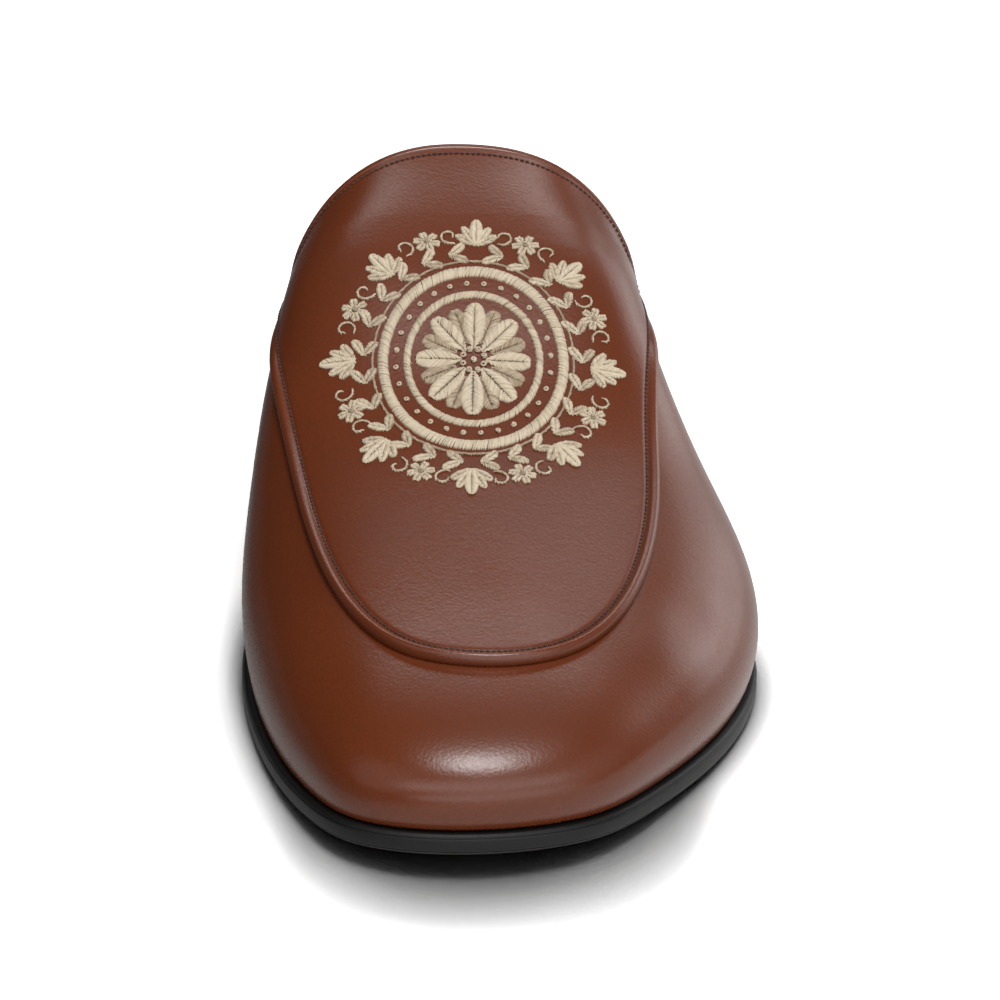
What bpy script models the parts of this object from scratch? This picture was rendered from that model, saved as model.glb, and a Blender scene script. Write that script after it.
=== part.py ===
"""A left mule: a backless slip-on shoe in smooth leather, assembled the way a shoemaker does it.

Sizes are in metres. The shoe stands on the XY plane, +Y runs from the toe to the heel, +X points to the
outer side of the foot, +Z is up, and the origin is the middle of the shoe's footprint.
"""

import math

import bmesh
import bpy
import numpy as np
from mathutils import Vector

# Driving sizes of the sole
sole_length = 0.290
ball_width = 0.107
toe_spring = 0.0055
forefoot_flat_start = 0.070
forefoot_flat_end = 0.118
heel_rise = 0.014
heel_seat_start = 0.226
outsole_thickness = 0.005
outsole_edge_round = 0.0011
insole_thickness = 0.0035
insole_edge_round = 0.0009
insole_heel_reveal = 0.0022
insole_widening = 0.014

# Driving sizes of the heel
heel_length = 0.074
top_lift_thickness = 0.0042
top_lift_edge_round = 0.0006
heel_reveal = 0.0009
heel_taper = 0.0016

# Driving sizes of the upper
instep_height = 0.081
upper_wall = 0.0022
upper_reveal = 0.0018
side_swell = 0.010
fan_start = 0.054
fan_end = 0.115
fan_start_slope = 0.1
swell_parting = 0.25
tongue_reach = 0.172
ear_reach = 0.144
ear_height = 0.0445
quarter_reach = 0.214
topline_sweep = 2.2
cut_allowance = 0.0066

# Driving sizes of the apron, the stitched panel on top of the upper
apron_width = 0.0836
apron_end_height = 0.0530
apron_thickness = 0.0013
apron_roll_width = 0.0032
apron_roll_rise = 0.0010
apron_roll_fade = 0.012

# Clearances: between the sole's pieces and the upper, behind the quarter, and under the apron
joint_gap = 0.0003
quarter_gap = 0.0009
apron_gap = 0.0004

# Mesh fineness
SOLE_STEPS = 44
HEEL_STEPS = 14
FRONT_STEPS = 27
QUARTER_STEPS = 10
RIB_STEPS = 16
TOPLINE_STEPS = 14
ARCH_STEPS = 9
APRON_COLUMNS = 12
ARC_STEPS = 60
NUDGE = 1e-3
MERGE = 1e-6
SHARP_ANGLE = math.radians(40)

INNER, OUTER = -1, 1

# The sole's outline: distance from the toe as a share of its length, and the positions of its inner and
# outer edges as shares of half the ball width, counted towards the foot's outer side
SOLE_OUTLINE = (
    # station, inner edge, outer edge
    (0.000, -0.219, -0.219),
    (0.024, -0.649, 0.256),
    (0.072, -0.819, 0.506),
    (0.200, -0.986, 0.916),
    (0.310, -0.996, 1.001),
    (0.430, -0.844, 0.805),
    (0.580, -0.601, 0.613),
    (0.700, -0.629, 0.651),
    (0.800, -0.629, 0.631),
    (0.910, -0.554, 0.541),
    (0.970, -0.379, 0.351),
    (1.000, -0.019, -0.019),
)

# How an edge is rounded, from a plate's face to its side, as shares of the rounding
EDGE_ROUND = (
    # inset, distance from the face
    (1.70, 0.00),
    (0.45, 0.40),
    (0.00, 1.40),
)

# The heel's side, which is a little hollow
HEEL_SIDE = (
    # share of the heel's height, share of its taper
    (0.0, 1.0),
    (0.5, 0.4),
    (1.0, 0.0),
)

# The last's sections along the ridge: distance from the toe as a share of the sole's length, the ridge's
# height as a share of the instep height and its place as a share of half the ball width, how square the
# crown and the sides are, and how far the inner and outer sides swell as shares of the side swell
SECTIONS = (
    # station, ridge height, ridge place, crown, sides, inner swell, outer swell
    (0.186, 0.470, -0.114, 0.57, 0.60, 0.43, 1.40),
    (0.270, 0.550, -0.124, 0.61, 0.70, 0.76, 1.00),
    (0.370, 0.672, -0.137, 0.70, 0.88, 1.25, 0.50),
    (0.480, 0.867, -0.146, 0.81, 1.05, 1.88, 0.53),
    (0.593, 1.000, -0.102, 0.74, 0.91, 2.04, 1.20),
    (0.690, 1.130, -0.074, 0.69, 0.84, 1.60, 0.90),
    (0.790, 1.260, -0.054, 0.62, 0.70, 1.00, 0.70),
)

# The apron's edge: how far round it lies from the toe to the arch of the tongue, negative on the inner
# side, and its distance along the leather from the ridge as a share of half the apron's width
APRON_OUTLINE = (
    # way round, distance from the ridge
    (-0.85, 0.945),
    (-0.70, 0.862),
    (-0.50, 0.765),
    (-0.25, 0.668),
    (0.00, 0.612),
    (0.25, 0.670),
    (0.50, 0.820),
    (0.70, 0.955),
    (0.85, 1.035),
)


# The rolled edge of the apron
APRON_ROLL = (
    # share of the roll's width from the edge, share of its rise
    (1.00, 0.0),
    (0.75, 0.7),
    (0.45, 1.0),
    (0.15, 0.5),
    (0.00, -0.7),
)


def smooth_curve(knots, values):
    """The natural cubic spline through the points, as a function of one number."""
    x = np.array(knots, float)
    y = np.array(values, float)
    step = np.diff(x)
    slope = np.diff(y) / step
    size = len(x)
    system = np.eye(size)
    target = np.zeros(size)
    for i in range(1, size - 1):
        system[i, i - 1 : i + 2] = step[i - 1], 2 * (step[i - 1] + step[i]), step[i]
        target[i] = 6 * (slope[i] - slope[i - 1])
    bend = np.linalg.solve(system, target)

    def at(place):
        i = int(np.clip(np.searchsorted(x, place) - 1, 0, size - 2))
        left, right = place - x[i], x[i + 1] - place
        cubic = (bend[i] * right**3 + bend[i + 1] * left**3) / (6 * step[i])
        return float(
            cubic
            + (y[i] / step[i] - bend[i] * step[i] / 6) * right
            + (y[i + 1] / step[i] - bend[i + 1] * step[i] / 6) * left
        )

    return at


def smoothstep(value):
    share = min(max(value, 0.0), 1.0)
    return share * share * (3 - 2 * share)


def distance_of(turn):
    """Distance from the toe at a turn, which runs from 0 at the toe to 1 at the heel."""
    return sole_length * (1 - math.cos(math.pi * turn)) / 2


def turn_of(distance):
    return math.acos(1 - 2 * distance / sole_length) / math.pi


def outline_curve():
    """The outline's place across the shoe as a smooth loop over signed turns, negative on the inner side."""
    loop = {}
    for station, inner, outer in SOLE_OUTLINE:
        turn = turn_of(station * sole_length)
        for signed, share in ((-turn, inner), (turn, outer)):
            for lap in (-2, 0, 2):
                loop[round(signed + lap, 6)] = share
    turns = sorted(turn for turn in loop if abs(turn) < 1.5)
    return smooth_curve(turns, [loop[turn] for turn in turns])


OUTLINE = outline_curve()
SECTION_CURVES = [
    smooth_curve([row[0] for row in SECTIONS], [row[column] for row in SECTIONS])
    for column in range(1, len(SECTIONS[0]))
]


def outline_point(signed_turn, inset=0.0):
    """A point of the sole's outline in plan, moved inwards by the inset."""

    def at(turn):
        return Vector(
            (
                OUTLINE(turn) * ball_width / 2,
                -math.cos(math.pi * turn) * sole_length / 2,
            )
        )

    along = (at(signed_turn + NUDGE) - at(signed_turn - NUDGE)).normalized()
    return at(signed_turn) + Vector((-along.y, along.x)) * inset


def sole_underside(distance):
    """Height of the outsole's underside: toe spring, a flat forefoot, the shank's rise and the heel seat."""
    if distance < forefoot_flat_start:
        return toe_spring * (1 - distance / forefoot_flat_start) ** 2
    rise = (distance - forefoot_flat_end) / (heel_seat_start - forefoot_flat_end)
    return heel_rise * smoothstep(rise)


def feather_height(distance):
    """Height at which the upper and the insole start, just above the outsole."""
    return sole_underside(distance) + outsole_thickness + joint_gap


def toe_distance(point):
    return point.y + sole_length / 2


def ridge_distance(distance):
    """Where on the ridge a rib ends that starts this far from the toe: ribs fan out round the toe."""
    if distance >= fan_end:
        return distance
    t = distance / fan_end
    return (
        (2 * t**3 - 3 * t**2 + 1) * fan_start
        + (t**3 - 2 * t**2 + t) * fan_start_slope * fan_end
        + (3 * t**2 - 2 * t**3) * fan_end
        + (t**3 - t**2) * fan_end
    )


def ridge_height(distance):
    return SECTION_CURVES[0](distance / sole_length) * instep_height


def ridge_point(distance):
    across = SECTION_CURVES[1](distance / sole_length) * ball_width / 2
    return Vector((across, distance - sole_length / 2, ridge_height(distance)))


def rib(turn, side):
    """The four control points of a rib, a cubic curve from the feather line over the side to the ridge."""
    foot_plan = outline_point(side * turn, upper_reveal)
    outward = (
        outline_point(side * turn) - outline_point(side * turn, 1.0)
    ).normalized()
    foot = Vector(
        (foot_plan.x, foot_plan.y, feather_height(max(toe_distance(foot_plan), 0.0)))
    )
    top_distance = ridge_distance(distance_of(turn))
    top = ridge_point(top_distance)
    share = top_distance / sole_length
    crown, sides, inner_swell, outer_swell = (
        curve(share) for curve in SECTION_CURVES[2:]
    )
    parting = side * min(turn / swell_parting, 1.0) / 2
    swell = side_swell * (
        inner_swell * (0.5 - parting) + outer_swell * (0.5 + parting)
    )
    height = top.z - foot.z
    ridge_rise = ridge_height(top_distance + NUDGE) - ridge_height(top_distance - NUDGE)
    ridge_slope = ridge_rise / (2 * NUDGE)
    shoulder = foot + Vector((outward.x * swell, outward.y * swell, sides * height))
    reach = (foot - top) * crown
    crown_point = top + Vector((reach.x, reach.y, reach.y * ridge_slope))
    return foot, shoulder, crown_point, top


def rib_point(control, share):
    """A point of a rib, from 0 at the feather line to 1 at the ridge."""
    a, b, c, d = control
    rest = 1 - share
    return (
        a * rest**3
        + b * 3 * rest**2 * share
        + c * 3 * rest * share**2
        + d * share**3
    )


def surface_normal(turn, side, share):
    """The outward normal of the upper's outer surface, one for both sides on the ridge."""
    if share > 1 - NUDGE:
        both = [surface_normal(turn, each, 1 - 2 * NUDGE) for each in (INNER, OUTER)]
        return (both[0] + both[1]).normalized()
    lower, higher = max(share - NUDGE, 0.0), min(share + NUDGE, 1.0)
    here = rib(turn, side)
    up = rib_point(here, higher) - rib_point(here, lower)
    if turn < NUDGE:
        along = rib_point(rib(NUDGE, OUTER), share) - rib_point(
            rib(NUDGE, INNER), share
        )
    else:
        ahead = rib_point(rib(turn + NUDGE, side), share)
        along = (ahead - rib_point(rib(turn - NUDGE, side), share)) * side
    return along.cross(up).normalized()


def front_turns():
    """Turns of the ribs from the toe to the ears, which the upper and the apron share."""
    return spaced(0, turn_of(ear_reach), FRONT_STEPS)


def topline_height(distance):
    """Side view of the opening: the arch of the tongue leans back from the ear, the quarter sweeps down."""
    if distance < ear_reach:
        return ear_height
    end_height = feather_height(quarter_reach) - upper_wall
    left = max(0.0, 1 - (distance - ear_reach) / (quarter_reach - ear_reach))
    return end_height + (ear_height - end_height) * left**topline_sweep


def arch_height(distance):
    """Side view of the tongue's edge, a straight line from the ear to the top of the tongue."""
    tongue_top = ridge_height(tongue_reach)
    lean = (tongue_top - ear_height) / (tongue_reach - ear_reach)
    return ear_height + (distance - ear_reach) * lean


def apron_end_reach():
    """How far from the toe the apron's sides end, on the edge of the tongue."""
    tongue_top = ridge_height(tongue_reach)
    share = (apron_end_height - ear_height) / (tongue_top - ear_height)
    return ear_reach + (tongue_reach - ear_reach) * share


def new_object(name, mesh, material):
    piece = bpy.data.objects.new(name, mesh)
    mesh.materials.append(material)
    collection.objects.link(piece)
    piece.parent = mule
    return piece


def finished_mesh(name, bm):
    """Merges what coincides, closes the normals and shades the mesh smooth."""
    bmesh.ops.remove_doubles(bm, verts=bm.verts, dist=MERGE)
    bmesh.ops.dissolve_degenerate(bm, edges=bm.edges, dist=MERGE / 10)
    bmesh.ops.recalc_face_normals(bm, faces=bm.faces)
    mesh = bpy.data.meshes.new(name)
    bm.to_mesh(mesh)
    bm.free()
    mesh.shade_smooth()
    mesh.set_sharp_from_angle(angle=SHARP_ANGLE)
    return mesh


def plain_material(name, colour, roughness):
    material = bpy.data.materials.new(name)
    material.use_nodes = True
    shader = material.node_tree.nodes["Principled BSDF"]
    shader.inputs["Base Color"].default_value = (*colour, 1.0)
    shader.inputs["Roughness"].default_value = roughness
    shader.inputs["Metallic"].default_value = 0.0
    return material


def skin_grid(bm, rows):
    """Faces between neighbouring rows of points."""
    verts = [[bm.verts.new(point) for point in row] for row in rows]
    for first, second in zip(verts, verts[1:]):
        for i in range(len(first) - 1):
            bm.faces.new((first[i + 1], second[i + 1], second[i], first[i]))
    return verts


def plate(name, turns, levels, material):
    """A solid that follows the sole's outline between two turns, stacked from levels of inset and height.

    Each level is an inset from the sole's edge, as a function of the turn, and a height, as a function of
    the distance from the toe. Strips from edge to edge close its top and bottom.
    """
    bm = bmesh.new()
    rings = []
    for inset, height in levels:
        sides = []
        for side in (INNER, OUTER):
            points = []
            for turn in turns:
                plan = outline_point(side * turn, inset(turn))
                points.append((plan.x, plan.y, height(max(toe_distance(plan), 0.0))))
            sides.append(points)
        rings.append(sides)
    skin_grid(bm, (rings[0][0], rings[0][1]))
    skin_grid(bm, (rings[-1][0], rings[-1][1]))
    for side in (0, 1):
        skin_grid(bm, [ring[side] for ring in rings])
    for end in (0, -1):
        skin_grid(bm, [(ring[0][end], ring[1][end]) for ring in rings])
    return new_object(name, finished_mesh(name, bm), material)


def spaced(start, end, steps):
    return [start + (end - start) * i / steps for i in range(steps + 1)]


def rounded_profile(thickness, rounding):
    """Levels of inset and height up a plate whose lower and upper edges are rounded."""
    lower = [(inset * rounding, up * rounding) for inset, up in EDGE_ROUND]
    upper = [(inset, thickness - up) for inset, up in reversed(lower)]
    return lower + upper


def make_outsole(material):
    levels = [
        (lambda turn, inset=inset: inset, lambda d, up=up: sole_underside(d) + up)
        for inset, up in rounded_profile(outsole_thickness, outsole_edge_round)
    ]
    return plate("outsole", spaced(0, 1, SOLE_STEPS), levels, material)


def insole_inset(turn):
    """The insole lies inside the upper's wall, and behind the upper it widens to the heel seat's edge."""
    inside_wall = upper_reveal + upper_wall + 2 * joint_gap
    start = quarter_reach + quarter_gap
    share = smoothstep((distance_of(turn) - start) / insole_widening)
    return inside_wall + (insole_heel_reveal - inside_wall) * share


def make_insole(material):
    levels = [
        (
            lambda turn, more=more: insole_inset(turn) + more,
            lambda d, up=up: feather_height(d) + up,
        )
        for more, up in rounded_profile(insole_thickness, insole_edge_round)
    ]
    return plate("insole", spaced(0, 1, SOLE_STEPS), levels, material)


def heel_turns():
    return spaced(turn_of(sole_length - heel_length), 1, HEEL_STEPS)


def make_heel(material):
    """The heel block stands on the top lift and is cut to the outsole's underside."""
    bottom = top_lift_thickness + joint_gap
    levels = [
        (
            lambda turn, taper=taper: heel_reveal + taper * heel_taper,
            lambda d, up=up: bottom + (sole_underside(d) - joint_gap - bottom) * up,
        )
        for up, taper in HEEL_SIDE
    ]
    return plate("heel", heel_turns(), levels, material)


def make_top_lift(material):
    inset = heel_reveal + heel_taper
    profile = (
        (inset + top_lift_edge_round, 0.0),
        (inset, top_lift_edge_round),
        (inset, top_lift_thickness),
    )
    levels = [
        (lambda turn, inset=inset: inset, lambda d, up=up: up) for inset, up in profile
    ]
    return plate("heel_top_lift", heel_turns(), levels, material)


def make_opening_cutter():
    """What the pattern cutter takes off the lasted leather: the side view of the opening, across the shoe."""
    beyond = ball_width / 2
    tongue_top = arch_height(tongue_reach)
    lean = (tongue_reach - ear_reach) / (tongue_top - ear_height)
    profile = [
        (tongue_reach + lean * beyond, tongue_top + beyond),
        (ear_reach, ear_height),
    ]
    for distance in spaced(ear_reach, quarter_reach, TOPLINE_STEPS)[1:]:
        profile.append((distance, topline_height(distance)))
    profile += [
        (quarter_reach, -beyond),
        (sole_length + beyond, -beyond),
        (sole_length + beyond, tongue_top + beyond),
    ]
    bm = bmesh.new()
    outline = [
        bm.verts.new((-ball_width, distance - sole_length / 2, height))
        for distance, height in profile
    ]
    face = bm.faces.new(outline)
    grown = bmesh.ops.extrude_face_region(bm, geom=[face])["geom"]
    bmesh.ops.translate(
        bm,
        verts=[item for item in grown if isinstance(item, bmesh.types.BMVert)],
        vec=(2 * ball_width, 0, 0),
    )
    bmesh.ops.recalc_face_normals(bm, faces=bm.faces)
    mesh = bpy.data.meshes.new("opening_cutter")
    bm.to_mesh(mesh)
    bm.free()
    cutter = bpy.data.objects.new("opening_cutter", mesh)
    cutters.objects.link(cutter)
    cutter.parent = mule
    cutter.hide_render = True
    cutter.display_type = "WIRE"
    return cutter


def make_upper(material):
    """The lasted leather: ribs from the feather line to the ridge, given its wall, then cut open."""
    bm = bmesh.new()
    last_turn = turn_of(quarter_reach + cut_allowance)
    turns = front_turns() + spaced(turn_of(ear_reach), last_turn, QUARTER_STEPS)[1:]
    for side in (INNER, OUTER):
        rows = []
        for turn in turns:
            control = rib(turn, side)
            rows.append([rib_point(control, share) for share in spaced(0, 1, RIB_STEPS)])
        skin_grid(bm, rows)
    upper = new_object("upper", finished_mesh("upper", bm), material)
    wall = upper.modifiers.new("wall", "SOLIDIFY")
    wall.thickness = upper_wall
    wall.offset = -1
    wall.use_even_offset = True
    opening = upper.modifiers.new("opening", "BOOLEAN")
    opening.object = make_opening_cutter()
    opening.operation = "DIFFERENCE"
    return upper


def walk_down(control):
    """Rows down a rib from the ridge: how far up it each lies, its distance along the leather, its height."""
    rows = [(1.0, 0.0, control[3].z)]
    before = control[3]
    for share in spaced(1, 0, ARC_STEPS)[1:]:
        point = rib_point(control, share)
        rows.append((share, rows[-1][1] + (point - before).length, point.z))
        before = point
    return np.array(rows)


def arc_to_height(control, height):
    """Distance along the leather from the ridge down to a height."""
    shares, arcs, heights = walk_down(control).T
    return float(np.interp(-height, -heights, arcs))


def apron_turns():
    """Turns of the apron's ribs, close together where its arch closes at the top of the tongue."""
    end = apron_end_reach()
    closing = [
        turn_of(end + (tongue_reach - end) * math.sin(math.pi / 2 * share))
        for share in spaced(0, 1, ARCH_STEPS)
    ]
    return front_turns() + closing


def apron_edge_curve():
    """The apron's edge as a smooth curve over the way round from the toe, up to the tongue's edge."""
    rows = list(APRON_OUTLINE)
    for side in (INNER, OUTER):
        end_arc = arc_to_height(rib(turn_of(apron_end_reach()), side), apron_end_height)
        rows.append((side, end_arc / (apron_width / 2)))
    rows.sort()
    return smooth_curve([row[0] for row in rows], [row[1] for row in rows])


def apron_columns(arc, roll_width):
    """Places down a rib from the ridge to the apron's edge, each with its share of the roll's rise."""
    flat = spaced(0, arc - roll_width, APRON_COLUMNS)[:-1]
    roll = [(arc - roll_width * inwards, up) for inwards, up in APRON_ROLL]
    return [(place, 0.0) for place in flat] + roll


def make_apron(material):
    """The stitched panel over the upper, with a rolled edge round its front and sides."""
    end_reach = apron_end_reach()
    outline = apron_edge_curve()
    bm = bmesh.new()
    for side in (INNER, OUTER):
        top_rows, bottom_rows = [], []
        for turn in apron_turns():
            control = rib(turn, side)
            distance = distance_of(turn)
            if distance < end_reach:
                arc = apron_width / 2 * outline(side * turn / turn_of(end_reach))
            else:
                arc = max(arc_to_height(control, arch_height(distance)), MERGE / 10)
            rise = apron_roll_rise * smoothstep((end_reach - distance) / apron_roll_fade)
            shares, arcs, heights = walk_down(control).T
            top, bottom = [], []
            for place, up in apron_columns(arc, min(apron_roll_width, arc / 2)):
                share = float(np.interp(place, arcs, shares))
                point = rib_point(control, share)
                normal = surface_normal(turn, side, share)
                top.append(point + normal * (apron_gap + apron_thickness + rise * up))
                bottom.append(point + normal * apron_gap)
            top_rows.append(top)
            bottom_rows.append(bottom)
        skin_grid(bm, top_rows)
        skin_grid(bm, bottom_rows)
        skin_grid(bm, ([row[-1] for row in top_rows], [row[-1] for row in bottom_rows]))
    return new_object("apron", finished_mesh("apron", bm), material)


for leftover in list(bpy.data.objects):
    bpy.data.objects.remove(leftover)

collection = bpy.data.collections.new("mule")
cutters = bpy.data.collections.new("cutters")
for folder in (collection, cutters):
    bpy.context.scene.collection.children.link(folder)
mule = bpy.data.objects.new("mule_frame", None)
collection.objects.link(mule)

brown_leather = plain_material("brown_leather", (0.16, 0.045, 0.015), 0.32)
insole_leather = plain_material("insole_leather", (0.17, 0.06, 0.025), 0.5)
black_edge = plain_material("black_edge", (0.012, 0.012, 0.012), 0.42)
black_rubber = plain_material("black_rubber", (0.010, 0.010, 0.010), 0.7)

make_outsole(black_edge)
make_heel(black_edge)
make_top_lift(black_rubber)
make_insole(insole_leather)
make_upper(brown_leather)
make_apron(brown_leather)
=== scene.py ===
"""Looks of the left mule: smooth brown leather, an embroidered apron and a black sole.

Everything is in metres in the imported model's frame: +Y from the toe to the heel, +X to the outer
side of the foot, +Z up. The last's sizes and sections are repeated here from the solids' source,
so that each piece follows its solid.
"""

import math
import random
from functools import lru_cache

import bmesh
import bpy
import numpy as np
from mathutils import Matrix, Vector
from mathutils.bvhtree import BVHTree


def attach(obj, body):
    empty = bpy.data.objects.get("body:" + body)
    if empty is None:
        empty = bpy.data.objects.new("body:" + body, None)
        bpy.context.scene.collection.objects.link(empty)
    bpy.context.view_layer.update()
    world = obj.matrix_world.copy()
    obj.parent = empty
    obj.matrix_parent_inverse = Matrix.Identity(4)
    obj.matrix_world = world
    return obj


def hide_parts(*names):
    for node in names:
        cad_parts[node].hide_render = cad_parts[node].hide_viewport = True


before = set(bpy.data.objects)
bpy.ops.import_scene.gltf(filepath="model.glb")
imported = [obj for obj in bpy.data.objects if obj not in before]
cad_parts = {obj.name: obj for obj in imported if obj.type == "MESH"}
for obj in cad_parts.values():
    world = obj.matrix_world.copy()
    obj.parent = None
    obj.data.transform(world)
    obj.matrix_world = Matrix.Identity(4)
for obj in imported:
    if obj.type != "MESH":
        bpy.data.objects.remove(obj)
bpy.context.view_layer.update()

# Driving sizes of the sole
sole_length = 0.290
ball_width = 0.107
toe_spring = 0.0055
forefoot_flat_start = 0.070
forefoot_flat_end = 0.118
heel_rise = 0.014
heel_seat_start = 0.226
outsole_thickness = 0.005
insole_thickness = 0.0035
insole_heel_reveal = 0.0022
insole_widening = 0.014
insole_dish = 0.0006

# Driving sizes of the heel
heel_length = 0.074
top_lift_thickness = 0.0042
heel_reveal = 0.0009
heel_taper = 0.0016
heel_breast_hollow = 0.0022
HEEL_LIFTS = 3
HEEL_GROOVE_WIDTH = 0.05
heel_groove = 0.00016
lift_rounding = 0.0006

# Driving sizes of the upper
instep_height = 0.081
upper_wall = 0.0022
upper_reveal = 0.0018
side_swell = 0.010
fan_start = 0.054
fan_end = 0.115
fan_start_slope = 0.1
swell_parting = 0.25
tongue_reach = 0.172
ear_reach = 0.144
ear_height = 0.0445
quarter_reach = 0.214
topline_sweep = 2.2

# Driving sizes of the apron
apron_width = 0.0836
apron_end_height = 0.0530
apron_thickness = 0.0013
apron_roll_rise = 0.0009
apron_roll_fade = 0.030
apron_end_thinness = 0.35
apron_end_taper = 0.034
apron_end_taper_width = 0.012
apron_cover_blend = 0.004

# The quarter's flare below each ear: its middle, its spread and how far it stands out
ear_flare_reach = 0.1475
ear_flare_length = 0.011
ear_flare_height = 0.0355
ear_flare_rise = 0.0080
ear_flare_depth = 0.0034

# Clearances of the solids
joint_gap = 0.0003
quarter_gap = 0.0009
apron_gap = 0.0004
apron_top = apron_gap + apron_thickness

# Stitching: a stitch's pitch, length and half thickness, and the seams' distances from their edges
stitch_pitch = 0.00118
stitch_length = 0.00084
stitch_radius = 0.00023
apron_seam_inset = 0.0030
arch_seam_inset = 0.0024
topline_seam_inset = 0.0026
insole_seam_inset = 0.0032
topline_seam_start = 0.002
topline_seam_end = 0.024
insole_seam_lead = 0.012
insole_stitch_pitch = 0.0026
insole_stitch_length = 0.0019

# The embroidered medallion: its centre along and across the shoe, its turn and its half sizes
medallion_reach = 0.1135
medallion_across = 0.0033
medallion_turn = 0.065
medallion_half_width = 0.0310
medallion_half_height = 0.0385
field_step = 0.001
thread_radius = 0.00019
THREAD_END = 0.55
THREAD_BEVEL = 1
STRAY_MM = 0.05
STRAY_TONE = 0.14
ROPE_PITCH = 0.62 / 1000
ROPE_OVERLAP = 2.2
FRAME_KNOTS = 28

NUDGE = 1e-3
MERGE = 1e-6
ARC_STEPS = 80
FRONT_STEPS = 120
BACK_STEPS = 60
ARCH_STEPS = 44
RIM_STEPS = 160
PLATE_STEPS = 190
HEEL_STEPS = 150
BREAST_STEPS = 40
SIDE_ROWS = 26
TOP_ROWS = 30
APRON_ROWS = 34
UNDERSIDE_ROWS = 12
ROLL_SHARP = math.radians(75)
BLOCK_SHARP = math.radians(40)
INNER, OUTER = -1, 1

SOLE_OUTLINE = (
    # station, inner edge, outer edge
    (0.000, -0.219, -0.219),
    (0.024, -0.649, 0.256),
    (0.072, -0.819, 0.506),
    (0.200, -0.986, 0.916),
    (0.310, -0.996, 1.001),
    (0.430, -0.844, 0.805),
    (0.580, -0.601, 0.613),
    (0.700, -0.629, 0.651),
    (0.800, -0.629, 0.631),
    (0.910, -0.554, 0.541),
    (0.970, -0.379, 0.351),
    (1.000, -0.019, -0.019),
)

SECTIONS = (
    # station, ridge height, ridge place, crown, sides, inner swell, outer swell
    (0.186, 0.470, -0.114, 0.57, 0.60, 0.43, 1.40),
    (0.270, 0.550, -0.124, 0.61, 0.70, 0.76, 1.00),
    (0.370, 0.672, -0.137, 0.70, 0.88, 1.25, 0.50),
    (0.480, 0.867, -0.146, 0.81, 1.05, 1.88, 0.53),
    (0.593, 1.000, -0.102, 0.74, 0.91, 2.04, 1.20),
    (0.690, 1.130, -0.074, 0.69, 0.84, 1.60, 0.90),
    (0.790, 1.260, -0.054, 0.62, 0.70, 1.00, 0.70),
)

APRON_OUTLINE = (
    # way round, distance from the ridge
    (-0.85, 0.945),
    (-0.70, 0.862),
    (-0.50, 0.765),
    (-0.25, 0.668),
    (0.00, 0.612),
    (0.25, 0.670),
    (0.50, 0.820),
    (0.70, 0.955),
    (0.85, 1.035),
)

# The apron's edge in section, from the flat leather over the roll and round to its foot
APRON_EDGE = (
    # distance inwards from the edge in mm, share of the thickness, share of the roll's rise
    (4.60, 1.00, 0.00),
    (4.00, 1.00, 0.00),
    (3.60, 1.00, -0.02),
    (3.30, 1.00, -0.12),
    (3.00, 1.00, -0.20),
    (2.70, 1.00, -0.05),
    (2.40, 1.00, 0.32),
    (2.05, 1.00, 0.70),
    (1.70, 1.00, 0.92),
    (1.30, 1.00, 1.00),
    (0.92, 1.00, 0.93),
    (0.58, 0.97, 0.70),
    (0.30, 0.88, 0.42),
    (0.10, 0.72, 0.14),
    (0.00, 0.50, 0.00),
    (0.04, 0.26, 0.00),
    (0.20, 0.08, 0.00),
    (0.50, 0.00, 0.00),
)

# The sole's edge in section, with a fine wheel mark under its top and over its bottom
SOLE_EDGE = (
    # inset in mm, height in mm
    (6.00, 0.00),
    (2.00, 0.02),
    (1.10, 0.14),
    (0.55, 0.40),
    (0.22, 0.74),
    (0.12, 0.92),
    (0.24, 1.02),
    (0.08, 1.14),
    (0.00, 1.50),
    (0.00, 2.50),
    (0.00, 3.50),
    (0.08, 3.88),
    (0.26, 4.00),
    (0.12, 4.12),
    (0.20, 4.36),
    (0.46, 4.68),
    (0.95, 4.92),
    (1.80, 5.00),
    (3.50, 5.00),
)

# The cap over a cut edge: distance beyond the edge in mm, distance over the nearer face in mm
EDGE_CAP = (
    (-0.95, -0.12),
    (-0.85, 0.04),
    (-0.55, 0.22),
    (-0.10, 0.30),
    (0.35, 0.22),
    (0.70, 0.02),
    (0.90, -0.28),
    (0.97, -0.75),
)

INSOLE_EDGE = (
    # inset in mm, height in mm
    (0.80, 0.00),
    (0.25, 0.20),
    (0.00, 0.70),
    (0.00, 2.30),
    (0.10, 2.85),
    (0.40, 3.25),
    (0.90, 3.45),
    (1.80, 3.50),
)

# Soft hollows and swellings that wear leaves in the vamp
VAMP_DENTS = (
    # place on the vamp, radius, depth
    ((0.0400, -0.0930, 0.0300), 0.0075, 0.0007),
    ((0.0470, -0.0800, 0.0290), 0.0060, 0.0005),
    ((0.0330, -0.1060, 0.0280), 0.0060, -0.0003),
    ((-0.0490, -0.0760, 0.0280), 0.0080, 0.0005),
    ((-0.0430, -0.0990, 0.0260), 0.0070, -0.0003),
)

# A seam's stitch: share of its length, height over the leather in half thicknesses
STITCH_SHAPE = ((-0.5, -0.9), (-0.36, 0.35), (0.0, 0.75), (0.36, 0.35), (0.5, -0.9))


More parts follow.
